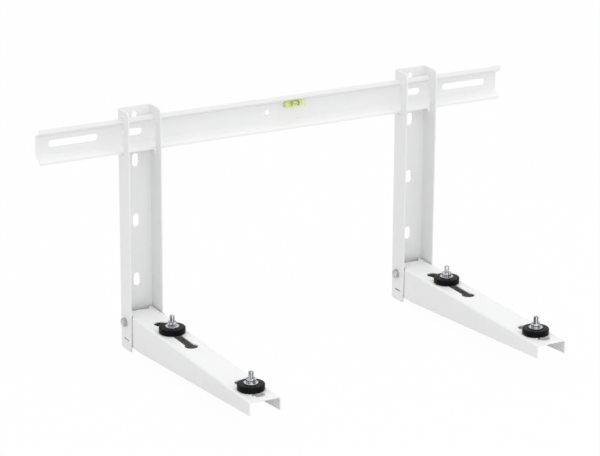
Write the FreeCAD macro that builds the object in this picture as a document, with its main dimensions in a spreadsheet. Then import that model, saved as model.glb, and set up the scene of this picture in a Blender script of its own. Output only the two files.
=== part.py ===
import FreeCAD, Part
import math
import os

import Sketcher

# Wall bracket for the outdoor unit of an air conditioner.
# Lengths are in millimetres. X runs along the crossbar, Y points into the wall and Z is up.
# The origin lies on the wall, midway between the two long end slots of the crossbar.

os.makedirs("parts", exist_ok=True)
doc = FreeCAD.newDocument("outdoor_unit_bracket")
sheet = doc.addObject("Spreadsheet::Sheet", "Sizes")
V = FreeCAD.Vector


class Size:
    """A length that carries its number and the way it follows from the sheet."""

    def __init__(self, value, text):
        self.value = float(value)
        self.text = text

    def __add__(self, other):
        other = as_size(other)
        return Size(self.value + other.value, "(%s + %s)" % (self.text, other.text))

    def __sub__(self, other):
        other = as_size(other)
        return Size(self.value - other.value, "(%s - %s)" % (self.text, other.text))

    def __mul__(self, other):
        other = as_size(other)
        return Size(self.value * other.value, "(%s * %s)" % (self.text, other.text))

    def __truediv__(self, other):
        other = as_size(other)
        return Size(self.value / other.value, "(%s / %s)" % (self.text, other.text))

    def __radd__(self, other):
        return as_size(other) + self

    def __rsub__(self, other):
        return as_size(other) - self

    def __rmul__(self, other):
        return as_size(other) * self

    def __neg__(self):
        return as_size(0) - self


def as_size(number):
    if isinstance(number, Size):
        return number
    return Size(number, "(%r)" % float(number))


def root(size):
    return Size(math.sqrt(size.value), "sqrt(%s)" % size.text)


# Driving sizes: sheet metal
sheet_thickness = 2.0
bend_inner_radius = 1.0

# Driving sizes: crossbar
rail_length = 800
rail_depth = 16.5
rail_top = 27.5
rail_lip_root = 20.0
rail_web_top = 12.6
rail_web_bottom = -14.6
rail_foot_root = -23.1
rail_bottom = -27.3
end_slot_inset = 60
end_slot_length = 80
inner_slot_step = 97
inner_slot_length = 32
rail_slot_width = 11
centre_hole_x = -13.7
centre_hole_diameter = 9

# Driving sizes: level
level_start = 12.5
level_length = 34.5
level_depth = 10
level_bottom = 5.6
level_bore_radius = 3.3
level_wall = 1.1
level_plug_length = 2.5
level_gap = 0.15

# Driving sizes: uprights
bracket_spacing = 480
bracket_middle = 0.8
upright_width = 55
upright_top = 40.5
upright_height = 380
flange_top_depth = 38.5
flange_bottom_depth = 36.5
flange_top_round = 8
flange_bottom_round = 3.5
hook_gap = 0.6
window_front_gap = 3.5
hook_rest_gap = 0.3
hook_bite = 4.8
lift_travel = 5.0
rear_room = 1.9
web_slot_width = 10.5
web_slot_length = 21
web_slot_first = -44.5
web_slot_last_rise = 46.2
keyhole_diameter = 9
keyhole_height = 27.0
keyhole_tip = 6.5

# Driving sizes: arms
arm_gap = 0.3
arm_length = 425
arm_top_rise = 58.4
arm_depth = 50.2
arm_tip_depth = 20.6
arm_flat_to = 60
arm_bend_outer_radius = 4
arm_cutback = 13.5
arm_cutback_slope = 8
arm_slot_width = 13.8
arm_slot_end_diameter = 20.4
rear_slot_start = 84.5
rear_slot_end = 190
front_slot_length = 51
front_slot_tip_room = 22.5

# Driving sizes: the bolt and the pressed lug that hold the arm in the upright
thread_diameter = 8
thread_play = 0.05
bolt_hole_diameter = 9
arm_bolt_out = 17
arm_bolt_drop = 14.4
arm_bolt_length = 65
hex_across = 13
head_height = 5.3
nut_height = 6.5
washer_thickness = 1.6
arm_washer_diameter = 16
washer_hole_diameter = 8.4
slit_out = 20
slit_drop = 41.4
slit_length = 18
slit_width = 2
lug_length = 13
lug_height = 4
lug_press_depth = 1.7
lug_room = 1.0

# Driving sizes: rubber feet and their studs
rear_foot_out = 124.9
front_foot_tip_room = 43.4
puck_diameter = 40.4
puck_height = 9.5
puck_round = 1.6
neck_gap = 0.3
foot_washer_diameter = 21
lower_washer_gap = 0.2
foot_bolt_length = 31

# Each size named above becomes a cell of the sheet, and its name stands for that cell from here on
driving = [(name, number) for name, number in globals().items() if isinstance(number, (int, float))]
for row, (name, number) in enumerate(driving, 1):
    sheet.set("A%d" % row, name)
    sheet.set("B%d" % row, str(number))
    sheet.setAlias("B%d" % row, name)
    globals()[name] = Size(number, "Sizes.%s" % name)
doc.recompute()

bend_outer_radius = bend_inner_radius + sheet_thickness


# Small helpers for bodies, sketches and features
def bind(thing, property_name, size):
    thing.setExpression(property_name, size.text)


def new_body(name):
    body = doc.addObject("PartDesign::Body", name)
    body.Label = name
    return body


def put(body, x=None, y=None, z=None, turned=0):
    """Stand a body in its place, each coordinate following the sheet, turned about its upright."""
    body.Placement = FreeCAD.Placement(V(0, 0, 0), V(0, 0, 1), turned)
    for axis, size in (("x", x), ("y", y), ("z", z)):
        if size is not None:
            bind(body, "Placement.Base." + axis, size)


def sketch_in(body, role, name, lift=None):
    """Start a sketch on one of the body's own planes, lifted along its normal."""
    sketch = body.newObject("Sketcher::SketchObject", name)
    plane = [part for part in body.Origin.OriginFeatures if part.Role == role][0]
    sketch.AttachmentSupport = [(plane, "")]
    sketch.MapMode = "FlatFace"
    if lift is not None:
        sketch.AttachmentOffset = FreeCAD.Placement(V(0, 0, lift.value), FreeCAD.Rotation())
        bind(sketch, "AttachmentOffset.Base.z", lift)
    return sketch


def fix(sketch, part, spot, across, up):
    """Hold one point of a sketch at two sizes from the sketch's origin."""
    for kind, axis, size in (("DistanceX", -2, across), ("DistanceY", -1, up)):
        if size.value == 0:
            sketch.addConstraint(Sketcher.Constraint("PointOnObject", part, spot, axis))
            continue
        rule = Sketcher.Constraint(kind, -1, 1, part, spot, size.value)
        number = sketch.addConstraint(rule)
        bind(sketch, "Constraints[%d]" % number, size)


def set_radius(sketch, part, size):
    number = sketch.addConstraint(Sketcher.Constraint("Radius", part, size.value))
    bind(sketch, "Constraints[%d]" % number, size)


def circle(sketch, across, up, radius):
    across = as_size(across)
    up = as_size(up)
    shape = Part.Circle(V(across.value, up.value, 0), V(0, 0, 1), radius.value)
    part = sketch.addGeometry(shape, False)
    fix(sketch, part, 3, across, up)
    set_radius(sketch, part, radius)


def arc_between(centre, radius, first, last):
    """An arc turning left from the direction of one point to that of another."""
    start = math.atan2(first.y - centre.y, first.x - centre.x)
    end = math.atan2(last.y - centre.y, last.x - centre.x)
    if end < start:
        end += 2 * math.pi
    return Part.ArcOfCircle(Part.Circle(centre, V(0, 0, 1), radius), start, end)


def outline(sketch, corners):
    """Draw a closed outline through corners given as (across, up) or (across, up, radius)."""
    places = [(as_size(c[0]), as_size(c[1])) for c in corners]
    radii = [c[2] if len(c) > 2 else None for c in corners]
    spots = [V(across.value, up.value, 0) for across, up in places]
    count = len(corners)
    marks = []
    for spot, place in zip(spots, places):
        mark = sketch.addGeometry(Part.Point(spot), True)
        fix(sketch, mark, 1, place[0], place[1])
        marks.append(mark)
    arrive = []
    leave = []
    centres = []
    for i in range(count):
        back = (spots[i - 1] - spots[i]).normalize()
        on = (spots[(i + 1) % count] - spots[i]).normalize()
        if radii[i] is None:
            arrive.append(spots[i])
            leave.append(spots[i])
            centres.append(None)
            continue
        half = back.getAngle(on) / 2
        trim = radii[i].value / math.tan(half)
        middle = (back + on).normalize()
        arrive.append(spots[i] + back * trim)
        leave.append(spots[i] + on * trim)
        centres.append(spots[i] + middle * (radii[i].value / math.sin(half)))
    lines = []
    for i in range(count):
        line = Part.LineSegment(leave[i], arrive[(i + 1) % count])
        lines.append(sketch.addGeometry(line, False))
    for i in range(count):
        before = lines[i - 1]
        after = lines[i]
        if radii[i] is None:
            sketch.addConstraint(Sketcher.Constraint("Coincident", before, 2, marks[i], 1))
            sketch.addConstraint(Sketcher.Constraint("Coincident", after, 1, marks[i], 1))
            continue
        sketch.addConstraint(Sketcher.Constraint("PointOnObject", marks[i], 1, before))
        sketch.addConstraint(Sketcher.Constraint("PointOnObject", marks[i], 1, after))
        inward = spots[i] - spots[i - 1]
        outward = spots[(i + 1) % count] - spots[i]
        turns_left = inward.x * outward.y - inward.y * outward.x > 0
        ends = (arrive[i], leave[i]) if turns_left else (leave[i], arrive[i])
        arc = sketch.addGeometry(arc_between(centres[i], radii[i].value, *ends), False)
        first, last = (1, 2) if turns_left else (2, 1)
        sketch.addConstraint(Sketcher.Constraint("Tangent", before, 2, arc, first))
        sketch.addConstraint(Sketcher.Constraint("Tangent", after, 1, arc, last))
        set_radius(sketch, arc, radii[i])


def slot(sketch, across, up, length, width, upright=False):
    """Draw a round-ended slot by its centre, its length over the ends and its width."""
    across = as_size(across)
    up = as_size(up)
    radius = width / 2
    reach = (length - width) / 2
    if upright:
        ends = ((across, up - reach), (across, up + reach))
        side = V(radius.value, 0, 0)
    else:
        ends = ((across - reach, up), (across + reach, up))
        side = V(0, -radius.value, 0)
    low, high = [V(a.value, u.value, 0) for a, u in ends]
    first = sketch.addGeometry(arc_between(low, radius.value, low - side, low + side), False)
    second = sketch.addGeometry(arc_between(high, radius.value, high + side, high - side), False)
    going = sketch.addGeometry(Part.LineSegment(low + side, high + side), False)
    coming = sketch.addGeometry(Part.LineSegment(high - side, low - side), False)
    fix(sketch, first, 3, ends[0][0], ends[0][1])
    fix(sketch, second, 3, ends[1][0], ends[1][1])
    sketch.addConstraint(Sketcher.Constraint("Tangent", first, 2, going, 1))
    sketch.addConstraint(Sketcher.Constraint("Tangent", second, 1, going, 2))
    sketch.addConstraint(Sketcher.Constraint("Tangent", second, 2, coming, 1))
    sketch.addConstraint(Sketcher.Constraint("Tangent", first, 1, coming, 2))
    set_radius(sketch, first, radius)


def pad(body, sketch, length, both_ways=False):
    feature = body.newObject("PartDesign::Pad", sketch.Label + "_pad")
    feature.Profile = sketch
    if both_ways:
        feature.SideType = "Symmetric"
    bind(feature, "Length", length)
    body.Tip = feature
    return feature


def cut(body, sketch, length=None):
    """Cut a sketch away on both sides of its plane, right through unless a length is given."""
    feature = body.newObject("PartDesign::Pocket", sketch.Label + "_cut")
    feature.Profile = sketch
    feature.SideType = "Symmetric"
    if length is None:
        feature.Type = "ThroughAll"
    else:
        bind(feature, "Length", length)
    body.Tip = feature
    return feature


def turn(body, kind, sketch, axis):
    """Revolve a sketch about its own upright or level axis, adding or cutting metal."""
    feature = body.newObject("PartDesign::" + kind, sketch.Label + "_turned")
    feature.Profile = sketch
    feature.ReferenceAxis = (sketch, [axis])
    feature.Angle = 360
    body.Tip = feature
    return feature


# Crossbar: one folded strip, its section drawn once and run along the wall
rail_run = rail_depth - sheet_thickness
upper_rise = rail_lip_root - rail_web_top
upper_slope = root(rail_run * rail_run + upper_rise * upper_rise)
upper_shift = sheet_thickness * (upper_slope - upper_rise) / rail_run
lower_fall = rail_web_bottom - rail_foot_root
lower_slope = root(rail_run * rail_run + lower_fall * lower_fall)
lower_shift = sheet_thickness * (lower_slope - lower_fall) / rail_run

crossbar = new_body("crossbar")
section = sketch_in(crossbar, "YZ_Plane", "crossbar_section")
outline(section, [
    (-rail_depth, rail_top),
    (-rail_depth, rail_lip_root, bend_outer_radius),
    (-sheet_thickness, rail_web_top, bend_inner_radius),
    (-sheet_thickness, rail_web_bottom, bend_inner_radius),
    (-rail_depth, rail_foot_root, bend_outer_radius),
    (-rail_depth, rail_bottom),
    (-rail_run, rail_bottom),
    (-rail_run, rail_foot_root - lower_shift, bend_inner_radius),
    (0, rail_web_bottom - lower_shift, bend_outer_radius),
    (0, rail_web_top + upper_shift, bend_outer_radius),
    (-rail_run, rail_lip_root + upper_shift, bend_inner_radius),
    (-rail_run, rail_top),
])
pad(crossbar, section, rail_length, both_ways=True)

end_slot_middle = rail_length / 2 - end_slot_inset
inner_slot_middle = end_slot_middle - inner_slot_step
long_slots = sketch_in(crossbar, "XZ_Plane", "crossbar_end_slots")
for side in (-1, 1):
    slot(long_slots, side * end_slot_middle, 0, end_slot_length, rail_slot_width)
cut(crossbar, long_slots)
short_slots = sketch_in(crossbar, "XZ_Plane", "crossbar_inner_slots")
for side in (-1, 1):
    slot(short_slots, side * inner_slot_middle, 0, inner_slot_length, rail_slot_width)
cut(crossbar, short_slots)
round_hole = sketch_in(crossbar, "XZ_Plane", "crossbar_centre_hole")
circle(round_hole, centre_hole_x, 0, centre_hole_diameter / 2)
cut(crossbar, round_hole)

# Level: a clear block bored from its left end, filled, and closed with a plug
level_front = -(sheet_thickness + level_depth)
level_back_top = rail_web_top - level_gap
level_front_top = level_back_top + level_depth * upper_rise / rail_run
bore_height = level_bottom + level_wall + level_bore_radius
bore_out = -(sheet_thickness + level_depth / 2)
bore_length = level_length - level_plug_length

level_block = new_body("level_block")
section = sketch_in(level_block, "YZ_Plane", "level_block_section", level_start)
outline(section, [
    (-sheet_thickness, level_bottom),
    (-sheet_thickness, level_back_top, bend_outer_radius / 2),
    (level_front, level_front_top),
    (level_front, level_bottom),
])
pad(level_block, section, level_length)
bore = sketch_in(level_block, "YZ_Plane", "level_block_bore", level_start)
circle(bore, bore_out, bore_height, level_bore_radius)
cut(level_block, bore, bore_length * 2)

level_plug = new_body("level_plug")
section = sketch_in(level_plug, "YZ_Plane", "level_plug_section", level_start)
circle(section, bore_out, bore_height, level_bore_radius)
pad(level_plug, section, level_plug_length)

level_liquid = new_body("level_liquid")
liquid_start = level_start + level_plug_length
section = sketch_in(level_liquid, "YZ_Plane", "level_liquid_section", liquid_start)
circle(section, bore_out, bore_height, level_bore_radius)
pad(level_liquid, section, bore_length - level_plug_length)

# Uprights: folded channels that hang on the crossbar's top lip
upright_bottom = upright_top - upright_height
arm_top = upright_bottom + arm_top_rise
web_slot_pitch = (web_slot_first - arm_top - web_slot_last_rise) / 2
window_back = -(rail_run - hook_gap)
window_front = -(rail_depth + window_front_gap)
hook_rest = rail_top + hook_rest_gap
tooth_bottom = hook_rest - hook_bite
window_bottom = rail_bottom - lift_travel
window_rear_bottom = rail_web_bottom - lift_travel - rear_room
flange_inside = upright_width / 2 - sheet_thickness
arm_bolt_height = arm_top - arm_bolt_drop
slit_height = arm_top - slit_drop
lug_centre = slit_height + slit_width / 2 + lug_height / 2


def make_upright(name, centre):
    """A channel with its web on the wall, windowed where the crossbar passes through it."""
    body = new_body(name)
    section = sketch_in(body, "XY_Plane", name + "_section", upright_bottom)
    half = upright_width / 2
    blank_depth = flange_top_depth + flange_bottom_depth
    outline(section, [
        (half, 0, bend_outer_radius),
        (-half, 0, bend_outer_radius),
        (-half, -blank_depth),
        (-flange_inside, -blank_depth),
        (-flange_inside, -sheet_thickness, bend_inner_radius),
        (flange_inside, -sheet_thickness, bend_inner_radius),
        (flange_inside, -blank_depth),
        (half, -blank_depth),
    ])
    pad(body, section, upright_height)

    # the flanges' front edges run from the top depth to the bottom depth, with rounded corners
    side = sketch_in(body, "YZ_Plane", name + "_lean")
    margin = blank_depth
    outline(side, [
        (margin * 2, upright_top + margin),
        (-margin * 2, upright_top + margin),
        (-margin * 2, upright_bottom - margin),
        (margin * 2, upright_bottom - margin),
    ])
    outline(side, [
        (margin, upright_top),
        (-flange_top_depth, upright_top, flange_top_round),
        (-flange_bottom_depth, upright_bottom, flange_bottom_round),
        (margin, upright_bottom),
    ])
    cut(body, side)

    # the window leaves a tooth behind the lip and a strip of each flange in front of it
    window = sketch_in(body, "YZ_Plane", name + "_window")
    outline(window, [
        (sheet_thickness, tooth_bottom),
        (window_back, tooth_bottom),
        (window_back, hook_rest),
        (window_front, hook_rest),
        (window_front, window_bottom, bend_inner_radius),
        (window_front + sheet_thickness, window_bottom),
        (0, window_rear_bottom),
        (sheet_thickness, window_rear_bottom),
    ])
    cut(body, window)

    # a screw head hooks into the drop-shaped keyhole above the window
    keyhole = sketch_in(body, "XZ_Plane", name + "_keyhole")
    radius = keyhole_diameter / 2
    tip = keyhole_height + keyhole_tip
    turn_angle = math.acos(radius.value / keyhole_tip.value)
    centre_spot = V(0, keyhole_height.value, 0)
    right = centre_spot + V(math.sin(turn_angle), math.cos(turn_angle), 0) * radius.value
    left = V(-right.x, right.y, 0)
    point = V(0, tip.value, 0)
    rim = keyhole.addGeometry(arc_between(centre_spot, radius.value, left, right), False)
    up_line = keyhole.addGeometry(Part.LineSegment(right, point), False)
    down_line = keyhole.addGeometry(Part.LineSegment(point, left), False)
    fix(keyhole, rim, 3, as_size(0), keyhole_height)
    fix(keyhole, up_line, 2, as_size(0), tip)
    set_radius(keyhole, rim, radius)
    keyhole.addConstraint(Sketcher.Constraint("Coincident", up_line, 2, down_line, 1))
    keyhole.addConstraint(Sketcher.Constraint("Tangent", rim, 2, up_line, 1))
    keyhole.addConstraint(Sketcher.Constraint("Tangent", rim, 1, down_line, 2))
    cut(body, keyhole)

    # three upright slots in the web, one drawn and the rest repeated downward
    web_slot = sketch_in(body, "XZ_Plane", name + "_web_slot")
    slot(web_slot, 0, web_slot_first, web_slot_length, web_slot_width, upright=True)
    first_slot = cut(body, web_slot)
    row = body.newObject("PartDesign::LinearPattern", name + "_slot_row")
    row.Originals = [first_slot]
    row.Direction = (web_slot, ["V_Axis"])
    row.Reversed = True
    row.Occurrences = 3
    bind(row, "Length", web_slot_pitch * 2)
    body.Tip = row

    bolt_hole = sketch_in(body, "YZ_Plane", name + "_bolt_hole")
    circle(bolt_hole, -arm_bolt_out, arm_bolt_height, bolt_hole_diameter / 2)
    cut(body, bolt_hole)

    # the slit, and the lug pressed inward from the strip above it on both flanges
    slit = sketch_in(body, "YZ_Plane", name + "_slit")
    slot(slit, -slit_out, slit_height, slit_length, slit_width)
    cut(body, slit)
    lug = sketch_in(body, "YZ_Plane", name + "_lug", flange_inside - lug_press_depth)
    slot(lug, -slit_out, lug_centre, lug_length, lug_height)
    right_lug = pad(body, lug, lug_press_depth + sheet_thickness / 2)
    both_lugs = body.newObject("PartDesign::Mirrored", name + "_lugs")
    both_lugs.Originals = [right_lug]
    both_lugs.MirrorPlane = (lug, ["N_Axis"])
    yz_plane = [part for part in body.Origin.OriginFeatures if part.Role == "YZ_Plane"][0]
    both_lugs.MirrorPlane = (yz_plane, [""])
    body.Tip = both_lugs
    put(body, x=centre)
    return body


# Arms: tapered channels, open side down, held between the flanges of the uprights
arm_half = flange_inside - arm_gap
arm_rear = -(sheet_thickness + arm_gap)
arm_bend_inner_radius = arm_bend_outer_radius - sheet_thickness
arm_bottom = arm_top - arm_depth
front_slot_end = arm_length - front_slot_tip_room
front_slot_start = front_slot_end - front_slot_length
front_foot_out = arm_length - front_foot_tip_room


def make_arm(name, centre):
    body = new_body(name)
    inner_half = arm_half - sheet_thickness
    section = sketch_in(body, "XZ_Plane", name + "_section", -arm_rear)
    outline(section, [
        (arm_half, arm_top, arm_bend_outer_radius),
        (-arm_half, arm_top, arm_bend_outer_radius),
        (-arm_half, arm_bottom),
        (-inner_half, arm_bottom),
        (-inner_half, arm_top - sheet_thickness, arm_bend_inner_radius),
        (inner_half, arm_top - sheet_thickness, arm_bend_inner_radius),
        (inner_half, arm_bottom),
        (arm_half, arm_bottom),
    ])
    pad(body, section, arm_length + arm_rear)

    # the side walls run full depth to the upright's front, then taper to the tip
    taper = sketch_in(body, "YZ_Plane", name + "_taper")
    beyond = arm_length + sheet_thickness
    outline(taper, [
        (-arm_flat_to, arm_bottom),
        (-arm_length, arm_top - arm_tip_depth),
        (-beyond, arm_top - arm_tip_depth),
        (-beyond, arm_bottom - sheet_thickness),
        (-arm_flat_to, arm_bottom - sheet_thickness),
    ])
    cut(body, taper)

    # the top is cut back at the wall end so that only the side walls bear on the web
    cutback = sketch_in(body, "XY_Plane", name + "_cutback")
    wide = arm_half - arm_bend_outer_radius
    narrow = wide - arm_cutback_slope
    outline(cutback, [
        (wide, 0),
        (wide, arm_rear),
        (narrow, -arm_cutback),
        (-narrow, -arm_cutback),
        (-wide, arm_rear),
        (-wide, 0),
    ])
    cutback.AttachmentOffset = FreeCAD.Placement(V(0, 0, arm_top.value), FreeCAD.Rotation())
    bind(cutback, "AttachmentOffset.Base.z", arm_top)
    cut(body, cutback, arm_bend_outer_radius * 4)

    # dog-bone slots: the wide ends let the washer below a foot in, the narrow part holds it
    for label, start, end in (("rear", rear_slot_start, rear_slot_end),
                              ("front", front_slot_start, front_slot_end)):
        ends = sketch_in(body, "XY_Plane", name + "_" + label + "_slot_ends")
        circle(ends, 0, -start, arm_slot_end_diameter / 2)
        circle(ends, 0, -end, arm_slot_end_diameter / 2)
        cut(body, ends)
        neck = sketch_in(body, "XY_Plane", name + "_" + label + "_slot_neck")
        outline(neck, [
            (arm_slot_width / 2, -start),
            (-arm_slot_width / 2, -start),
            (-arm_slot_width / 2, -end),
            (arm_slot_width / 2, -end),
        ])
        cut(body, neck)

    bolt_hole = sketch_in(body, "YZ_Plane", name + "_bolt_hole")
    circle(bolt_hole, -arm_bolt_out, arm_bolt_height, bolt_hole_diameter / 2)
    cut(body, bolt_hole)
    lug_window = sketch_in(body, "YZ_Plane", name + "_lug_window")
    room = lug_room * 2
    slot(lug_window, -slit_out, lug_centre, lug_length + room, lug_height + room)
    cut(body, lug_window)
    put(body, x=centre)
    return body


# Fasteners: built along X for the arm bolts and along Z for the feet
thread_radius = thread_diameter / 2
hex_corner = hex_across / math.sqrt(3)
hex_shoulder = hex_across * 0.48
hex_slope = (hex_corner - hex_shoulder) / math.sqrt(3)


def turned_outline(sketch, axis, points):
    """An outline given as (radius, along) points about the X or the Z axis."""
    if axis == "X":
        outline(sketch, [(along, radius) for radius, along in points])
    else:
        outline(sketch, [(radius, along) for radius, along in points])


def add_turned(body, kind, name, axis, points):
    sketch = sketch_in(body, "XZ_Plane", name)
    turned_outline(sketch, axis, points)
    turn(body, kind, sketch, "H_Axis" if axis == "X" else "V_Axis")


def add_hexagon(body, name, axis, start, height):
    """A six-sided block standing across its axis, a corner pointing along the sketch's up."""
    plane = "YZ_Plane" if axis == "X" else "XY_Plane"
    sketch = sketch_in(body, plane, name, start)
    half = hex_across / 2
    outline(sketch, [
        (0, hex_corner),
        (-half, hex_corner / 2),
        (-half, -hex_corner / 2),
        (0, -hex_corner),
        (half, -hex_corner / 2),
        (half, hex_corner / 2),
    ])
    pad(body, sketch, height)


def bevel(body, name, axis, face, inward):
    """Turn the sharp corners off one face of a hexagon."""
    wide = hex_corner * 1.2
    drop = (wide - hex_shoulder) / math.sqrt(3)
    add_turned(body, "Groove", name, axis, [
        (hex_shoulder, face),
        (wide, face + inward * drop),
        (wide, face - inward * drop),
        (hex_shoulder, face - inward * drop),
    ])


def make_bolt(name, axis, length):
    """A hexagon bolt, its head below zero and its shank running up from zero."""
    body = new_body(name)
    add_hexagon(body, name + "_head", axis, -head_height, head_height)
    bevel(body, name + "_head_bevel", axis, -head_height, 1)
    tip = thread_radius * 0.18
    add_turned(body, "Revolution", name + "_shank", axis, [
        (as_size(0), -head_height / 2),
        (thread_radius, -head_height / 2),
        (thread_radius, length - tip),
        (thread_radius - tip, length),
        (as_size(0), length),
    ])
    return body


def make_nut(name, axis):
    """A hexagon nut standing on zero."""
    body = new_body(name)
    add_hexagon(body, name + "_block", axis, as_size(0), nut_height)
    bevel(body, name + "_lower_bevel", axis, as_size(0), 1)
    bevel(body, name + "_upper_bevel", axis, nut_height, -1)
    hole = thread_radius + thread_play
    mouth = hole + thread_radius * 0.14
    lead = mouth - hole
    add_turned(body, "Groove", name + "_bore", axis, [
        (as_size(0), as_size(0)),
        (mouth, as_size(0)),
        (hole, lead),
        (hole, nut_height - lead),
        (mouth, nut_height),
        (as_size(0), nut_height),
    ])
    return body


def make_washer(name, axis, outside, hole=washer_hole_diameter):
    """A plain washer standing on zero."""
    body = new_body(name)
    edge = washer_thickness / 8
    add_turned(body, "Revolution", name + "_ring", axis, [
        (hole / 2, as_size(0)),
        (outside / 2 - edge, as_size(0)),
        (outside / 2, edge),
        (outside / 2, washer_thickness - edge),
        (outside / 2 - edge, washer_thickness),
        (hole / 2, washer_thickness),
    ])
    return body


# Rubber feet: a puck on the arm whose neck fills the slot, and a washer and a bolt head below
neck_diameter = arm_slot_width - neck_gap * 2
lower_washer_diameter = arm_slot_end_diameter - lower_washer_gap * 2
lower_washer_bottom = -(sheet_thickness + washer_thickness)


def make_rubber(name):
    body = new_body(name)
    sketch = sketch_in(body, "XZ_Plane", name + "_profile")
    hole = thread_radius + thread_play
    outline(sketch, [
        (hole, puck_height),
        (hole, -sheet_thickness),
        (neck_diameter / 2, -sheet_thickness),
        (neck_diameter / 2, as_size(0)),
        (puck_diameter / 2, as_size(0), puck_round),
        (puck_diameter / 2, puck_height, puck_round),
    ])
    turn(body, "Revolution", sketch, "V_Axis")
    return body


# The two brackets, left and right, with their arms, bolts and feet, each nut turned as it came
nut_turns = {"left_rear_foot": 30, "left_front_foot": 4, "right_rear_foot": -5, "right_front_foot": 14}
for hand, side in (("left", -1), ("right", 1)):
    centre = bracket_middle + side * bracket_spacing / 2
    make_upright(hand + "_upright", centre)
    make_arm(hand + "_arm", centre)

    outer = upright_width / 2
    bolt = make_bolt(hand + "_arm_bolt", "X", arm_bolt_length)
    put(bolt, centre - outer, -arm_bolt_out, arm_bolt_height)
    washer = make_washer(hand + "_arm_washer", "X", arm_washer_diameter)
    put(washer, centre + outer, -arm_bolt_out, arm_bolt_height)
    nut = make_nut(hand + "_arm_nut", "X")
    put(nut, centre + outer + washer_thickness, -arm_bolt_out, arm_bolt_height)

    for place, out in (("rear", rear_foot_out), ("front", front_foot_out)):
        foot = hand + "_" + place + "_foot"
        rubber = make_rubber(foot + "_rubber")
        put(rubber, centre, -out, arm_top)
        stud = make_bolt(foot + "_bolt", "Z", foot_bolt_length)
        put(stud, centre, -out, arm_top + lower_washer_bottom)
        below = make_washer(foot + "_lower_washer", "Z", lower_washer_diameter)
        put(below, centre, -out, arm_top + lower_washer_bottom)
        washer = make_washer(foot + "_washer", "Z", foot_washer_diameter)
        put(washer, centre, -out, arm_top + puck_height)
        nut = make_nut(foot + "_nut", "Z")
        put(nut, centre, -out, arm_top + puck_height + washer_thickness, nut_turns[foot])

doc.recompute()

# Every feature must have come out sound before anything is written
faults = []
for thing in doc.Objects:
    if any(word in thing.State for word in ("Invalid", "Error")):
        faults.append(thing.Label)
bodies = [thing for thing in doc.Objects if thing.TypeId == "PartDesign::Body"]
for body in bodies:
    shape = body.Shape
    if shape.isNull() or not shape.isValid() or len(shape.Solids) != 1:
        faults.append(body.Label + " shape")
    for feature in body.Group:
        if feature.TypeId != "PartDesign::Pocket":
            continue
        if feature.Shape.Volume >= feature.BaseFeature.Shape.Volume - 0.01:
            faults.append(feature.Label + " removed nothing")
if faults:
    raise RuntimeError("faults: " + ", ".join(faults))

for body in bodies:
    body.Shape.exportStep("parts/%s.step" % body.Label)
    box = body.Shape.BoundBox
    low = (round(box.XMin, 1), round(box.YMin, 1), round(box.ZMin, 1))
    high = (round(box.XMax, 1), round(box.YMax, 1), round(box.ZMax, 1))
    print(body.Label, low, high, round(body.Shape.Volume / 1000, 2), "cm3")
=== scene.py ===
# %% [markdown]
# # Dressing a wall bracket for an air conditioner's outdoor unit
#
# The engineering model gives every piece its true size and place. This lesson gives the pieces
# the look of the real bracket: white powder-coated sheet steel with softened edges, black rubber
# feet, zinc-plated studs with a real thread, and a small yellow-green level on the crossbar.
#
# Every length is in metres. X runs along the crossbar, Y points into the wall, Z is up.

import math

import bpy
from mathutils import Matrix, Vector


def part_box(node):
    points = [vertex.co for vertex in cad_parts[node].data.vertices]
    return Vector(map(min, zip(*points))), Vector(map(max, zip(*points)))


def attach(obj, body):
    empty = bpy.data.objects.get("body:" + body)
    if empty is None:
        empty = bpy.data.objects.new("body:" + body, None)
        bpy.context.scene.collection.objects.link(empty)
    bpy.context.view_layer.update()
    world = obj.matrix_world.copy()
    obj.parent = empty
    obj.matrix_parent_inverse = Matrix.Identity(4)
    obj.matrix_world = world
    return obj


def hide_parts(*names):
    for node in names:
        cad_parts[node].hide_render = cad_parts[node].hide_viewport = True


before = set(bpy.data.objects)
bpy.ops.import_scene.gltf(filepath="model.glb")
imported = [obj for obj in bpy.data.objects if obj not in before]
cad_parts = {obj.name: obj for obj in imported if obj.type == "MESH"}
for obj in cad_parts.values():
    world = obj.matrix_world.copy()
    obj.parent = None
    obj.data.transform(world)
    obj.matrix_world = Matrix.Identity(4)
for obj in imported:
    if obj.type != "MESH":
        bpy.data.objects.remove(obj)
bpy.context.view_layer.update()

# %% [markdown]
# ## Working by selection
#
# Blender's operators act on whatever is selected, as they do for someone working with a mouse.
# A face could be named by its number, but the numbers change with every edit. So these helpers
# clear the selection, choose one piece, and choose its faces by where they are and which way
# they look, and each later step reads like a list of moves.

# %% Choose a piece or its faces
def only(piece):
    """Select one piece and nothing else."""
    bpy.ops.object.select_all(action="DESELECT")
    piece.select_set(True)
    bpy.context.view_layer.objects.active = piece
    return piece


def edit(piece):
    """Open one piece in edit mode."""
    only(piece)
    bpy.ops.object.mode_set(mode="EDIT")


def done():
    """Leave edit mode."""
    bpy.ops.object.mode_set(mode="OBJECT")


def clear_selection(piece, kind):
    """Set edit mode to work on VERT, EDGE or FACE and deselect everything in the piece."""
    edit(piece)
    bpy.ops.mesh.select_mode(type=kind)
    bpy.ops.mesh.select_all(action="DESELECT")
    done()


def pick_faces(piece, wanted):
    """Select the faces that pass a test, leaving the piece in edit mode."""
    clear_selection(piece, "FACE")
    for face in piece.data.polygons:
        face.select = bool(wanted(face))
    edit(piece)


print("selection helpers ready")

# %% Finish, copy or remove a piece
def apply_all(piece):
    """Apply every modifier, top to bottom."""
    only(piece)
    for modifier in list(piece.modifiers):
        bpy.ops.object.modifier_apply(modifier=modifier.name)


def settle(piece):
    """Put the piece's place, turn and scale into its mesh."""
    only(piece)
    bpy.ops.object.transform_apply(location=True, rotation=True, scale=True)
    return piece


CREASE = 40  # degrees


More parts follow.
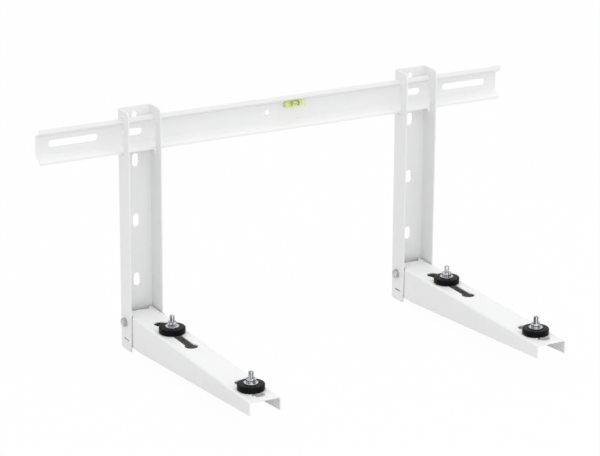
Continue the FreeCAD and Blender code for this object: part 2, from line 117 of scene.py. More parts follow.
def smooth(piece, degrees=CREASE):
    """Shade smooth, but for the edges that are sharper than the given angle."""
    only(piece)
    bpy.ops.object.shade_smooth_by_angle(angle=math.radians(degrees))


def copy_to(piece, name, place):
    """A copy with its own mesh, moved by place."""
    twin = piece.copy()
    twin.data = piece.data.copy()
    twin.name = name
    bpy.context.collection.objects.link(twin)
    twin.location = Vector(twin.location) + Vector(place)
    return settle(twin)


def remove(piece):
    """Take a pattern or a cutting tool away once it has served."""
    only(piece)
    bpy.ops.object.delete()


print("finishing helpers ready")

# %% [markdown]
# ## Shader maths that reads like arithmetic
#
# A material here is a small sum: noise times a strength, plus a base value. Its nodes could be
# made and joined one at a time, but then the sum is hard to see. Wrapping a socket in a class
# lets it be written with ordinary signs, and each sign adds its Math node.

# %% The socket class
class Wire:
    """A socket in a node tree that can be added, multiplied and mixed."""

    def __init__(self, tree, socket):
        self.tree = tree
        self.socket = socket

    def node(self, kind, settings=None, inputs=None, output=0):
        """Any node by its type, with its settings and the values or wires of its sockets."""
        made = self.tree.nodes.new(kind)
        for key, value in (settings or {}).items():
            setattr(made, key, value)
        for key, value in (inputs or {}).items():
            if isinstance(value, Wire):
                self.tree.links.new(value.socket, made.inputs[key])
            else:
                made.inputs[key].default_value = value
        return Wire(self.tree, made.outputs[output])

    def math(self, operation, first, second=0.0):
        """One Math node."""
        return self.node("ShaderNodeMath", {"operation": operation}, {0: first, 1: second})

    def __add__(self, other):
        return self.math("ADD", self, other)

    __radd__ = __add__

    def __sub__(self, other):
        return self.math("SUBTRACT", self, other)

    def __rsub__(self, other):
        return self.math("SUBTRACT", other, self)

    def __mul__(self, other):
        return self.math("MULTIPLY", self, other)

    __rmul__ = __mul__

    def __abs__(self):
        return self.math("ABSOLUTE", self)

    def or_else(self, other):
        """The larger of two masks, so that either one shows."""
        return self.math("MAXIMUM", self, other)

    def between(self, low, high):
        """0 below low, 1 above high and smooth in between."""
        settings = {"interpolation_type": "SMOOTHSTEP"}
        inputs = {"Value": self, "From Min": low, "From Max": high}
        return self.node("ShaderNodeMapRange", settings, inputs)

    def band(self, low, high, soft):
        """1 from low to high and 0 outside, with both ends faded over a soft stretch."""
        return self.between(low, low + soft) * (1.0 - self.between(high - soft, high))

    def blend(self, first, second):
        """A colour that goes from first to second as this wire goes from 0 to 1."""
        inputs = {"Factor": self, 6: first, 7: second}
        return self.node("ShaderNodeMix", {"data_type": "RGBA"}, inputs, 2)

    def noise(self, scale, detail):
        """Cloudy noise: a large scale makes it fine, more detail makes it ragged."""
        inputs = {"Vector": self, "Scale": scale, "Detail": detail}
        return self.node("ShaderNodeTexNoise", None, inputs)

    def stretched(self, scale):
        """The same coordinates, stretched: a small number makes a pattern long that way."""
        return self.node("ShaderNodeMapping", None, {"Vector": self, "Scale": scale})

    def along(self, axis):
        """One coordinate of three, as a plain number."""
        return self.node("ShaderNodeSeparateXYZ", None, {"Vector": self}, axis)


print("signs that add nodes: + - * abs")

# %% A new material
def new_material(name, **constants):
    """An empty principled material; returns its place wire and a function that plugs it in."""
    material = bpy.data.materials.new(name)
    material.use_nodes = True
    tree = material.node_tree
    shader = tree.nodes["Principled BSDF"]
    for key, value in constants.items():
        shader.inputs[key.replace("_", " ")].default_value = value
    place = Wire(tree, None).node("ShaderNodeTexCoord", output="Object")

    def plug(**wires):
        for key, wire in wires.items():
            tree.links.new(wire.socket, shader.inputs[key.replace("_", " ")])
        return material

    return place, plug


def bump(height, distance, strength):
    """Tilted normals, as if the surface rose by distance where height is 1."""
    inputs = {"Height": height, "Distance": distance, "Strength": strength}
    return height.node("ShaderNodeBump", None, inputs)


print("material helpers ready")

# %% [markdown]
# ## White powder coat
#
# The sheet steel is sprayed with white powder and baked. Close up the film has a faint orange
# peel, and its gloss varies a little where the powder lay thicker. One flat white would look
# like plastic, so a soft bump and a roughness that drifts slowly are laid over it, while the
# colour stays almost even.

# %% Powder coat
COAT_SHADE = (0.85, 0.853, 0.855, 1.0)
COAT_LIGHT = (0.878, 0.88, 0.88, 1.0)
COAT_SPECK = (0.78, 0.78, 0.77, 1.0)


def coat_drift(place):
    """The slow change over a hand's width that the colour and the gloss follow."""
    return place.noise(9.0, 3.0)


def orange_peel(place):
    """The faint dimples of baked powder."""
    return bump(place.noise(620.0, 2.0), 0.00004, 0.35)


place, plug = new_material("white powder coat", IOR=1.45)
drift = coat_drift(place)
specks = place.noise(2600.0, 1.0).between(0.66, 0.74)
powder_coat = plug(
    Base_Color=(specks * 0.25).blend(drift.blend(COAT_SHADE, COAT_LIGHT), COAT_SPECK),
    Roughness=0.36 + drift * 0.12 + specks * 0.08,
    Normal=orange_peel(place),
)
print("made", powder_coat.name)

# %% [markdown]
# ## The arms' own coat
#
# An arm stands between the flanges of its upright with a hair's width of room, where shade
# falls. That thin dark line is what tells the eye that these are two pieces. The gap is there in
# the mesh, but it is too fine for the light to show, so the arm's coat has painted shade there:
# it darkens along the joints with the upright, at its rear edge and behind the slit, masked by
# its distance from the arm's edges. The masks fade over a millimetre or so.

# %% Where the arms and uprights are
FLANGE_LEAN = 0.0020  # the flanges reach out this much less at the bottom than at the top
left_low, left_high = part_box("left_arm")
right_low, right_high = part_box("right_arm")
half_arm = (right_high[0] - right_low[0]) / 2
left_axis = (left_low[0] + left_high[0]) / 2
right_axis = (right_low[0] + right_high[0]) / 2
arms_middle = (left_axis + right_axis) / 2
half_spacing = (right_axis - left_axis) / 2
arm_rear = right_high[1]
arm_top = right_high[2]
flange_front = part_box("right_upright")[0][1] + FLANGE_LEAN
print("arms", round(2 * half_spacing, 4), "apart, flanges end at", round(flange_front, 4))

# %% Coat of the arms
# each pair says how far before an edge a mask starts and from where it is full
GROOVE = (0.0021, 0.0009)
GROOVE_START = (0.0006, -0.0006)
TOP_EDGE = (0.0042, 0.0030)
REAR_EDGE = (0.0022, 0.0010)
FLANGE_EDGE = (0.0012, 0.0002)
SIDE_FACE = (0.0012, 0.0006)
SIDE_WALL = (0.0030, 0.0020)
SLIT_FRONT, SLIT_REAR = -0.0300, -0.0100
SLIT_BOTTOM, SLIT_TOP = -0.3252, -0.3190
# the near-black colour of the painted shade in the arm's joints
PAINTED_SHADE_COLOUR = (0.09, 0.088, 0.08, 1.0)


def near(wire, edge, reach):
    """0 further before the edge than the first reach, 1 from the second reach on."""
    return wire.between(edge - reach[0], edge - reach[1])


place, plug = new_material("coat with dust in the joints", IOR=1.45)
across, out, up = (place.along(axis) for axis in "XYZ")
from_axis = abs(abs(across - arms_middle) - half_spacing)
groove = (near(from_axis, half_arm, GROOVE) * near(out, flange_front, GROOVE_START)
          * near(up, arm_top, TOP_EDGE))
rear = near(out, arm_rear, REAR_EDGE)
flange_line = near(out, flange_front, FLANGE_EDGE) * near(from_axis, half_arm, SIDE_FACE)
behind_slit = (out.band(SLIT_FRONT, SLIT_REAR, 0.0010) * up.band(SLIT_BOTTOM, SLIT_TOP, 0.0006)
               * near(from_axis, half_arm, SIDE_WALL))
# all four masks mark painted shade, where the arm meets the upright and behind the slit
painted_shade = groove.or_else(rear).or_else(flange_line).or_else(behind_slit)
patchy = place.noise(140.0, 3.0).between(0.2, 0.6)
arm_colour = coat_drift(place).blend(COAT_SHADE, COAT_LIGHT)
arm_coat = plug(
    Base_Color=(painted_shade * (patchy * 0.35 + 0.6)).blend(arm_colour, PAINTED_SHADE_COLOUR),
    Roughness=0.4 + painted_shade * 0.4,
    Normal=orange_peel(place),
)
print("made", arm_coat.name)

# %% [markdown]
# ## Inside the arms
#
# The arm is a deep channel, open below, and little light reaches its inner faces. Their coat has
# painted shade: a dull colour that goes nearly black towards the deep root, as seen through the
# slots, and stays pale at the shallow tip. A second material on the inner faces shows this better
# than one mask on the whole arm would, because the same sheet has one look outside and another
# inside.

# %% Thin coat
SHALLOW_TIP, DEEP_ROOT = -0.42, -0.24
place, plug = new_material("painted shade inside the arm", IOR=1.45)
# painted shade: none at the shallow tip, full at the deep root
shade_towards_root = place.along("Y").between(SHALLOW_TIP, DEEP_ROOT)
mottle = place.noise(60.0, 3.0)
lit_to_shaded = (shade_towards_root * 0.9 + mottle * 0.1).blend(
    (0.82, 0.82, 0.81, 1.0), (0.27, 0.27, 0.23, 1.0))
painted_shade_inside = plug(Base_Color=lit_to_shaded, Roughness=0.55 + mottle * 0.2)
print("made", painted_shade_inside.name)

# %% [markdown]
# ## Black rubber
#
# The feet are moulded rubber: nearly black, a little grey where the mould left bloom on the
# surface, with a fine pebbled skin that scatters a dull highlight. Rubber has little shine of
# its own, so the specular level is set low instead of making the surface very rough.

# %% Rubber
place, plug = new_material("black rubber", IOR=1.5, Specular_IOR_Level=0.07)
pebble = place.noise(2400.0, 3.0)
bloom = place.noise(120.0, 4.0).between(0.4, 0.75)
rubber = plug(
    Base_Color=bloom.blend((0.0026, 0.0026, 0.0034, 1.0), (0.0065, 0.0065, 0.0085, 1.0)),
    Roughness=0.32 + bloom * 0.16,
    Normal=bump(pebble, 0.00006, 0.5),
)
print("made", rubber.name)

# %% [markdown]
# ## Zinc plate
#
# Bolts, nuts and washers are zinc plated: a cool grey metal with small cloudy patches. Their
# colour also carries painted reflection: dark streaks along the axis, as round metal mirrors dark
# surroundings in bands. The studs and nuts of the feet show more of it, so one recipe makes both
# finishes, and a plain number says how much of the painted dark streak shows.

# %% Zinc
ZINC_SHADE = (0.5, 0.52, 0.56, 1.0)
ZINC_LIGHT = (0.8, 0.81, 0.83, 1.0)
ZINC_PAINTED_STREAK = (0.1, 0.105, 0.12, 1.0)


def zinc_plate(name, painted_streaks):
    """Plated metal; the second number says how much of the painted dark reflection streaks shows,
    from 0 to 1.
    """
    place, plug = new_material(name, Metallic=1.0)
    marks = place.stretched((1.0, 1.0, 6.0)).noise(900.0, 2.0)
    # dark streaks along the axis: a painted reflection of dark surroundings on round metal
    streak = place.stretched((1.0, 1.0, 0.06)).noise(420.0, 2.0).between(0.42, 0.6)
    patch = place.noise(260.0, 4.0).between(0.35, 0.7)
    return plug(
        Base_Color=(streak * painted_streaks).blend(patch.blend(ZINC_SHADE, ZINC_LIGHT), ZINC_PAINTED_STREAK),
        Roughness=0.07 + patch * 0.06 + marks * 0.08,
        Normal=bump(marks, 0.00004, 0.25),
    )


zinc = zinc_plate("zinc plate", 0.3)
zinc_with_painted_streaks = zinc_plate("zinc plate with painted streaks", 0.85)
print("made", zinc.name, "and", zinc_with_painted_streaks.name)

# %% [markdown]
# ## The level's plastic, liquid and marks
#
# The level is a block of clear acrylic with a bore full of yellow-green liquid. Light passes
# through it, so both are part transparent, the liquid much less so. Real refraction would be
# slow and noisy in a piece this small, and alpha shows the same. The liquid has a painted glow:
# it gives off a little light in its own colour, which lightens it. The ring marks are nearly black
# ink, and the bubble's rim is a painted dark edge in the same near-black colour.

# %% Acrylic and liquid
place, plug = new_material("clear acrylic", Roughness=0.08, IOR=1.49)
tint = place.noise(180.0, 2.0)
acrylic = plug(
    Base_Color=tint.blend((0.86, 0.95, 0.42, 1.0), (0.92, 0.98, 0.55, 1.0)),
    Alpha=0.16 + tint * 0.1,
)
# the emission is a painted glow: the liquid gives off a little light in its own colour
place, plug = new_material("level liquid", Roughness=0.12, Emission_Strength=0.22)
swirl = place.noise(240.0, 2.0)
dye_and_glow = swirl.blend((0.83, 0.93, 0.16, 1.0), (0.91, 0.97, 0.3, 1.0))
liquid = plug(Base_Color=dye_and_glow, Emission_Color=dye_and_glow, Alpha=0.86 + swirl * 0.1)
print("made", acrylic.name, "and", liquid.name)

# %% Ink and bubble
# near-black for the ring marks, which are ink, and for the bubble's rim, which is a painted dark
# edge
place, plug = new_material("ink_and_painted_rim")
grain = place.noise(1500.0, 2.0)
ink_and_painted_rim = plug(
    Base_Color=grain.blend((0.012, 0.014, 0.008, 1.0), (0.03, 0.032, 0.02, 1.0)),
    Roughness=0.45 + grain * 0.2,
)
place, plug = new_material("bubble", Roughness=0.06)
shine = place.noise(400.0, 2.0)
bubble_air = plug(
    Base_Color=shine.blend((0.9, 0.95, 0.6, 1.0), (0.95, 0.97, 0.72, 1.0)),
    Alpha=0.75 + shine * 0.1,
)
print("made", ink_and_painted_rim.name, "and", bubble_air.name)

# %% [markdown]
# ## Skins from the engineering meshes
#
# The engineering mesh of a piece has every slot and fold in its exact place, so drawing it anew
# would only add errors. It is made of loose triangles with razor edges, though, and may not be
# changed itself. So a finished piece starts as a copy whose triangles are welded and joined into
# flat faces.

# %% Skins
WELD = 0.000002
FLAT_WITHIN = 0.4  # degrees


def skin_from(node):
    """A welded copy of an engineering node, its flat faces joined."""
    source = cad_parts[node]
    piece = source.copy()
    piece.data = source.data.copy()
    piece.name = node + "_skin"
    bpy.context.collection.objects.link(piece)
    piece.parent = None
    piece.matrix_world = source.matrix_world
    edit(piece)
    bpy.ops.mesh.select_all(action="SELECT")
    bpy.ops.mesh.remove_doubles(threshold=WELD)
    bpy.ops.mesh.dissolve_limited(angle_limit=math.radians(FLAT_WITHIN))
    done()
    return piece


def dress(piece, material, body, *nodes):
    """Give a finished piece its material, the body it moves with and the nodes it stands for."""
    piece.data.materials.clear()
    piece.data.materials.append(material)
    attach(piece, body)
    if nodes:
        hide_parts(*nodes)
    return piece


print("skin helpers ready")

# %% [markdown]
# ## Softened edges
#
# A punched and folded sheet never has a sharp edge: the powder rounds it further. The Bevel
# modifier gives every edge past an angle a fine rounding in two steps. It would stretch the
# shading of the large flat faces beside it, so their normals are weighed by area afterwards.

# %% Fine bevel
SHARP_FROM = 35  # degrees


def soften(piece, width):
    """A fine bevel on every sharp edge."""
    bevel = piece.modifiers.new("fine edge", "BEVEL")
    bevel.width = width
    bevel.segments = 2
    bevel.limit_method = "ANGLE"
    bevel.angle_limit = math.radians(SHARP_FROM)
    bevel.use_clamp_overlap = False
    bevel.loop_slide = False
    bevel.miter_outer = "MITER_ARC"
    apply_all(piece)


def flatten_shading(piece):
    """Weigh the normals by area, so that the large flat faces shade flat beside their bevels."""
    weigh = piece.modifiers.new("weigh", "WEIGHTED_NORMAL")
    weigh.keep_sharp = True
    apply_all(piece)


print("bevel helpers ready")

# %% [markdown]
# ## The sheet metal
#
# Five folded pieces carry the load: the crossbar, two uprights that hang on it, and two arms.
# All take the same steps. The inner faces of an arm then get painted shade: those under its top,
# and those of its side walls that look towards the middle.

# %% Sheet metal pieces
SHEET_EDGE = 0.0003
UNDER_TOP = 0.006  # a face that looks down this close to the arm's top is the top's inner side
SIDE_WALLS = 0.018  # the side walls stand further than this from the arm's middle


def give_painted_shade_inside(piece, node):
    """Give the faces that look into an arm's channel the painted shade."""
    low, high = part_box(node)
    middle = (low[0] + high[0]) / 2
    piece.data.materials.append(painted_shade_inside)
    piece.active_material_index = 1

    def looks_in(face):
        across = face.center.x - middle
        if face.normal.z < -0.5 and face.center.z > high[2] - UNDER_TOP:
            return True
        return abs(across) > SIDE_WALLS and face.normal.x * across < -0.5 * abs(across)

    pick_faces(piece, looks_in)
    bpy.ops.object.material_slot_assign()
    done()


sheets = {"crossbar": "rail"}
for hand in ("left", "right"):
    sheets[hand + "_upright"] = hand + "_bracket"
    sheets[hand + "_arm"] = hand + "_bracket"
for node, body in sheets.items():
    is_arm = node.endswith("_arm")
    skin = skin_from(node)
    soften(skin, SHEET_EDGE)
    smooth(skin)
    flatten_shading(skin)
    dress(skin, arm_coat if is_arm else powder_coat, body, node)
    if is_arm:
        give_painted_shade_inside(skin, node)
    print(node, len(skin.data.polygons), "faces")

# %% [markdown]
# ## A real thread
#
# The studs stand up in full view, and a bump would leave their outline smooth, so their thread
# is cut as a helix. One tooth of the thread is drawn as a bent line and the Screw modifier winds
# it up. The wound shell is closed and then intersected with a chamfered rod, which trims both
# ends clean as a lathe would.

# %% The rod that trims a thread
CHAMFER = 0.0008


def chamfered_rod(radius, length):
    """A plain rod standing on zero, its upper end chamfered."""
    bpy.ops.mesh.primitive_cylinder_add(vertices=48, radius=radius, depth=length)
    rod = bpy.context.object
    rod.location.z = length / 2
    settle(rod)
    pick_faces(rod, lambda face: face.normal.z > 0.9)
    bpy.ops.mesh.bevel(offset=CHAMFER, segments=1, affect="EDGES")
    done()
    return rod


print("chamfer", CHAMFER)

# %% Threaded rod
PITCH = 0.00125
CREST = 0.00398
ROOT = 0.00338
TRIMMED_TO = 0.00399
TURN_STEPS = 28
SLOPE_SHARE = 0.44  # of the pitch, for each side of a tooth
FLAT_SHARE = 0.06  # of the pitch, for the tip of a tooth and for the bottom between two


def draw_tooth():
    """A bent line that stands for one tooth of the thread."""
    bpy.ops.mesh.primitive_plane_add(size=1)
    tooth = bpy.context.object
    edit(tooth)
    bpy.ops.mesh.select_mode(type="VERT")
    bpy.ops.mesh.select_all(action="SELECT")
    bpy.ops.mesh.merge(type="CENTER")
    bpy.ops.transform.translate(value=(ROOT, 0, -1.5 * PITCH))
    slope = PITCH * SLOPE_SHARE
    flat = PITCH * FLAT_SHARE
    for out, up in ((0, flat), (CREST - ROOT, slope), (0, flat), (ROOT - CREST, slope)):
        bpy.ops.mesh.extrude_region_move(TRANSFORM_OT_translate={"value": (out, 0, up)})
    done()
    return tooth


def wind_up(tooth, turns):
    """Wind the tooth round the Z axis and close both ends of the shell."""
    screw = tooth.modifiers.new("wind", "SCREW")
    screw.axis = "Z"
    screw.angle = math.tau
    screw.screw_offset = PITCH
    screw.iterations = turns
    screw.steps = TURN_STEPS
    screw.render_steps = TURN_STEPS
    screw.use_merge_vertices = True
    screw.merge_threshold = WELD / 2
    apply_all(tooth)
    edit(tooth)
    bpy.ops.mesh.select_all(action="SELECT")
    bpy.ops.mesh.remove_doubles(threshold=WELD)
    bpy.ops.mesh.fill_holes(sides=0)
    bpy.ops.mesh.select_all(action="SELECT")
    bpy.ops.mesh.normals_make_consistent(inside=False)
    done()


def combine(piece, tool, operation):
    """Cut or trim a piece with a tool, which is used up."""
    boolean = piece.modifiers.new("cut", "BOOLEAN")
    boolean.operation = operation
    boolean.solver = "EXACT"
    boolean.object = tool
    apply_all(piece)
    remove(tool)


def threaded_rod(length):
    """A rod standing on zero with an M8 thread all the way up."""
    rod = draw_tooth()
    wind_up(rod, int(length / PITCH) + 3)
    combine(rod, chamfered_rod(TRIMMED_TO, length), "INTERSECT")
    smooth(rod, 45)
    return rod


print("thread pitch", PITCH, "crest radius", CREST)

# %% [markdown]
# ## Rubber feet
#
# A foot is one moulding: a puck that the unit stands on and a short neck that fills the slot of
# the arm. Its outline could be spun round the axis, but a disc needs fewer steps: its underside
# is inset and pushed down through the sheet to make the neck, both rims are rolled over, and the
# hole for the stud is drilled last.

# %% Rims and holes
def pick_ring(piece, radius, height):
    """Select the edges of one circle round the Z axis, leaving the piece in edit mode."""
    slack = 0.00005
    clear_selection(piece, "EDGE")
    corners = piece.data.vertices
    for edge in piece.data.edges:
        ends = [corners[index].co for index in edge.vertices]
        edge.select = all(abs(math.hypot(end.x, end.y) - radius) <= slack
                          and abs(end.z - height) <= slack for end in ends)
    edit(piece)


def bore(piece, radius, reach):
    """Drill a round hole down the Z axis, as far as reach above and below zero."""
    bpy.ops.mesh.primitive_cylinder_add(vertices=64, radius=radius, depth=2 * reach)
    combine(piece, settle(bpy.context.object), "DIFFERENCE")


print("rim and hole helpers ready")

# %% One rubber foot
PUCK = 0.0202
PUCK_HIGH = 0.0095
PUCK_ROUND = 0.0015
NECK = 0.0066
SHEET = 0.002
STUD_HOLE = 0.00405


def make_foot():
    """A puck standing on zero, with its neck below and the hole for its stud."""
    bpy.ops.mesh.primitive_cylinder_add(vertices=96, radius=PUCK, depth=PUCK_HIGH)
    foot = bpy.context.object
    foot.location.z = PUCK_HIGH / 2
    settle(foot)
    pick_faces(foot, lambda face: face.normal.z < -0.9)
    bpy.ops.mesh.inset(thickness=PUCK - NECK)
    bpy.ops.mesh.extrude_region_move(TRANSFORM_OT_translate={"value": (0, 0, -SHEET)})
    done()
    for height in (0, PUCK_HIGH):
        pick_ring(foot, PUCK, height)
        bpy.ops.mesh.bevel(offset=PUCK_ROUND, segments=6, affect="EDGES")
        done()
    bore(foot, STUD_HOLE, 2 * PUCK_HIGH)
    smooth(foot)
    return foot


foot_pattern = make_foot()
print("rubber foot", len(foot_pattern.data.polygons), "faces")

# %% [markdown]
# ## Nuts, washers and bolts
#
# The hexagons and washers keep their engineering shape with every edge softened. A bolt there
# has a plain shank, and a thread can't be laid round it, so each bolt keeps its head, loses the
# shank, and takes a length of the threaded rod instead.

# %% Fastener helpers
FASTENER_EDGE = 0.00015
STUB = 0.0002  # what is left of the shank below a head


def plain_piece(node, body, material):
    """A nut or washer: its engineering shape with every edge softened."""
    piece = skin_from(node)
    soften(piece, FASTENER_EDGE)
    smooth(piece)
    dress(piece, material, body, node)


def head_of(node, body, material, under_head, along):
    """A bolt's head alone: the far end of the shank goes and the hole it leaves is filled."""
    head = skin_from(node)
    clear_selection(head, "VERT")
    for corner in head.data.vertices:
        corner.select = corner.co.dot(Vector(along)) > under_head + STUB
    edit(head)
    bpy.ops.mesh.delete(type="VERT")
    bpy.ops.mesh.select_mode(type="EDGE")
    bpy.ops.mesh.select_non_manifold()
    bpy.ops.mesh.fill()
    done()
    soften(head, FASTENER_EDGE)
    smooth(head)
    dress(head, material, body, node)


print("fastener helpers ready")

# %% [markdown]
# ## The arm bolts and the feet
#
# One bolt goes across each upright and through its arm, and four feet stand in the arms' slots.
# Each threaded length and the foot are modelled once, and every place gets its own copy.

# %% Threaded lengths
FOOT_BOLT_LONG = 0.031
ARM_BOLT_LONG = 0.065
foot_rod = threaded_rod(FOOT_BOLT_LONG)
arm_rod = threaded_rod(ARM_BOLT_LONG)
arm_rod.rotation_euler = (0, math.radians(90), 0)
settle(arm_rod)
print("foot rod", len(foot_rod.data.polygons), "faces, arm rod", len(arm_rod.data.polygons))

# %% Arm bolts
HEAD_HIGH = 0.0053
for hand in ("left", "right"):
    body = hand + "_bracket"
    bolt = hand + "_arm_bolt"
    low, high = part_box(bolt)
    under_head = low[0] + HEAD_HIGH
    head_of(bolt, body, zinc, under_head, (1, 0, 0))
    start = (under_head, (low[1] + high[1]) / 2, (low[2] + high[2]) / 2)
    dress(copy_to(arm_rod, bolt + "_thread", start), zinc, body)
    plain_piece(hand + "_arm_washer", body, zinc)
    plain_piece(hand + "_arm_nut", body, zinc)
print("arm bolts in place")

# %% Feet
for hand in ("left", "right"):
    for spot in ("rear", "front"):
        body = hand + "_" + spot + "_foot"
        low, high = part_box(body + "_rubber")
        middle_x = (low[0] + high[0]) / 2
        middle_y = (low[1] + high[1]) / 2
        under_puck = (middle_x, middle_y, high[2] - PUCK_HIGH)
        moulding = copy_to(foot_pattern, body + "_moulding", under_puck)
        dress(moulding, rubber, body, body + "_rubber")
        under_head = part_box(body + "_lower_washer")[0][2]
        # the studs and nuts of the feet take the zinc with the most painted dark reflection streaks
        head_of(body + "_bolt", body, zinc_with_painted_streaks, under_head, (0, 0, 1))
        stud = copy_to(foot_rod, body + "_bolt_thread", (middle_x, middle_y, under_head))
        dress(stud, zinc_with_painted_streaks, body)
        plain_piece(body + "_washer", body, zinc)
        plain_piece(body + "_lower_washer", body, zinc)
        plain_piece(body + "_nut", body, zinc_with_painted_streaks)
for pattern in (foot_pattern, foot_rod, arm_rod):
    remove(pattern)
print("feet in place")

# %% [markdown]
# ## The level
#
# The block is clear acrylic, so what is inside shows: a bore of yellow-green liquid with an air
# bubble that has risen to the top, and two rings inked round it that say when it is level. The
# bubble is a squeezed ball ringed by a thin near-black torus, a painted dark edge where the
# liquid's surface bends the light away, and each ring is a short tube with a wall of its own. A
# painted picture of them would stand still as the eye moves.

# %% Block, plug and liquid
BLOCK_EDGE = 0.0002
RINGS_ASIDE = 0.0006  # the rings sit this far to the right of the block's middle
block = skin_from("level_block")
soften(block, BLOCK_EDGE)
smooth(block)
dress(block, acrylic, "rail", "level_block")
for node, material in (("level_plug", acrylic), ("level_liquid", liquid)):
    skin = skin_from(node)
    smooth(skin)
    dress(skin, material, "rail", node)

low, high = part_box("level_block")
vial_x = (low[0] + high[0]) / 2 + RINGS_ASIDE
low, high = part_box("level_liquid")
vial_y = (low[1] + high[1]) / 2
vial_z = (low[2] + high[2]) / 2
VIAL = (high[2] - low[2]) / 2
print("bore radius", round(VIAL, 5))

# %% Bubble
TILT = math.radians(42)
BUBBLE_LONG = 0.0050
BUBBLE_WIDE = 0.0021
BUBBLE_THICK = 0.0013
RIM_THICK = 0.14  # as a share of its radius


def lay_on_liquid(name, size, out, up, material):
    """Squeeze the round shape just made and lay it on the liquid's upper front side.

    How far out and up it lies is given as a share of the liquid's radius.
    """
    piece = bpy.context.object
    piece.name = name
    piece.scale = size
    piece.rotation_euler = (TILT, 0, 0)
    piece.location = (vial_x, vial_y - VIAL * out, vial_z + VIAL * up)
    settle(piece)
    smooth(piece, 60)
    dress(piece, material, "rail")


bpy.ops.mesh.primitive_uv_sphere_add(segments=32, ring_count=16, radius=1)
lay_on_liquid("level_bubble", (BUBBLE_LONG, BUBBLE_WIDE, BUBBLE_THICK), 0.56, 0.6, bubble_air)
# the rim is a painted dark edge: a near-black ring where light bends away at the bubble's edge
bpy.ops.mesh.primitive_torus_add(major_segments=64, minor_segments=12, major_radius=1,
                                 minor_radius=RIM_THICK)
lay_on_liquid("level_bubble_rim", (BUBBLE_LONG, BUBBLE_WIDE, BUBBLE_WIDE), 0.62, 0.66, ink_and_painted_rim)
print("bubble", 2 * BUBBLE_LONG, "long")

# %% Rings
RING_FROM_MIDDLE = 0.0062
RING_WIDE = 0.0017
RING_WALL = 0.0002
RING_OVER_LIQUID = 0.0001
for side, hand in ((-1, "left"), (1, "right")):
    bpy.ops.mesh.primitive_cylinder_add(vertices=48, radius=VIAL + RING_OVER_LIQUID,
                                        depth=RING_WIDE, end_fill_type="NOTHING")
    ring = bpy.context.object
    ring.name = "level_ring_" + hand
    ring.rotation_euler = (0, math.radians(90), 0)
    ring.location = (vial_x + side * RING_FROM_MIDDLE, vial_y, vial_z)
    settle(ring)
    wall = ring.modifiers.new("wall", "SOLIDIFY")
    wall.thickness = RING_WALL
    apply_all(ring)
    smooth(ring)
    dress(ring, ink_and_painted_rim, "rail")
print("rings", 2 * RING_FROM_MIDDLE, "apart")

# %% [markdown]
# ## Floor and background
#
# The bracket is shown on plain white. A floor bright enough to look white would throw too much
# light up onto the metal, so it is white only to the camera, to mirrors and through clear
# plastic. To the light that falls on things it is a pale grey, and it still takes the shadow.

# %% Floor and world
FLOOR = -0.3405
FLOOR_GREY = (0.8, 0.8, 0.8, 1.0)
FLOOR_WHITE = 0.97
WHITE = (1.0, 1.0, 1.0, 1.0)
WORLD = 0.9


def seen_directly(tree):
    """1 where the camera, a mirror or clear plastic looks, 0 for the light that falls on things."""
    start = Wire(tree, None)
    camera_ray, glossy_ray, through_ray = (
        start.node("ShaderNodeLightPath", output=kind)
        for kind in ("Is Camera Ray", "Is Glossy Ray", "Is Transmission Ray"))
    return camera_ray.or_else(glossy_ray.or_else(through_ray))


bpy.ops.mesh.primitive_plane_add(size=14, location=(0, 0, FLOOR))
floor = bpy.context.object
floor.name = "floor"
floor_material = bpy.data.materials.new("pale floor")
floor_material.use_nodes = True
floor_tree = floor_material.node_tree
floor_shader = floor_tree.nodes["Principled BSDF"]
floor_shader.inputs["Base Color"].default_value = FLOOR_GREY
floor_shader.inputs["Roughness"].default_value = 0.9
shows = seen_directly(floor_tree)
glow = shows.node("ShaderNodeEmission", None, {"Color": WHITE, "Strength": 1.0})
grey = Wire(floor_tree, floor_shader.outputs[0])
mixed = shows.node("ShaderNodeMixShader", None, {0: shows * FLOOR_WHITE, 1: grey, 2: glow})
floor_tree.links.new(mixed.socket, floor_tree.nodes["Material Output"].inputs["Surface"])
floor.data.materials.append(floor_material)

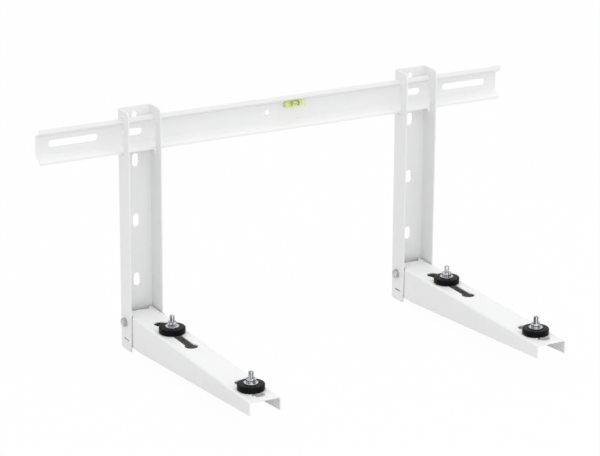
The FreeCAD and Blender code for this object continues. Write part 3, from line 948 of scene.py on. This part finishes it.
world = bpy.data.worlds.new("white studio")
bpy.context.scene.world = world
world.use_nodes = True
world_tree = world.node_tree
background = world_tree.nodes["Background"]
background.inputs["Color"].default_value = WHITE
strength = seen_directly(world_tree) * (1.0 - WORLD) + WORLD
world_tree.links.new(strength.socket, background.inputs["Strength"])
print("floor at", FLOOR, "and world at", WORLD)

# %% [markdown]
# ## Lamps
#
# The photograph is almost without shadows, as in a tent of white cloth. The world gives most of
# that even light. One large softbox above makes the arms' tops the brightest faces, and one in
# front lifts the uprights, which look darker than the rest but never grey.

# %% Lamps
def lamp(name, place, aim, size, power):
    """A softbox at a place, turned towards what it lights."""
    bpy.ops.object.light_add(type="AREA", location=place)
    light = bpy.context.object
    light.name = name
    light.data.shape = "RECTANGLE"
    light.data.size, light.data.size_y = size
    light.data.energy = power
    light.rotation_euler = (Vector(aim) - Vector(place)).to_track_quat("-Z", "Y").to_euler()


middle = (0.0, -0.1, -0.15)
lamp("top softbox", (0.3, -1.0, 2.6), middle, (2.6, 2.0), 16)
lamp("front softbox", (-0.6, -3.4, 0.9), middle, (2.2, 1.6), 11)
print("lights set")

# %% [markdown]
# ## Camera
#
# The photograph was taken with a long lens from the front left and a little above. The camera
# was fitted to the bracket's own corners, so the place, aim and lens below come from that fit.

# %% Camera
LENS = 162.18
SENSOR = 36.0
DISTANCE = 4.254935
AZIMUTH = math.radians(28.422)
ELEVATION = math.radians(18.54)
ROLL = math.radians(0.293)
target = Vector((0.045055, 0.0, -0.197369))
back = Vector((-math.sin(AZIMUTH) * math.cos(ELEVATION),
               -math.cos(AZIMUTH) * math.cos(ELEVATION),
               math.sin(ELEVATION)))
level_right = Vector((math.cos(AZIMUTH), -math.sin(AZIMUTH), 0.0))
level_up = back.cross(level_right)
right = level_right * math.cos(ROLL) + level_up * math.sin(ROLL)
up = level_up * math.cos(ROLL) - level_right * math.sin(ROLL)
bpy.ops.object.camera_add(location=target + back * DISTANCE)
camera = bpy.context.object
camera.rotation_euler = Matrix((right, up, back)).transposed().to_euler()
camera.data.sensor_width = SENSOR
camera.data.lens = LENS
camera.data.clip_end = 100.0
bpy.context.scene.camera = camera
bpy.context.scene.view_settings.view_transform = "Standard"
print("camera at", [round(value, 3) for value in camera.location])
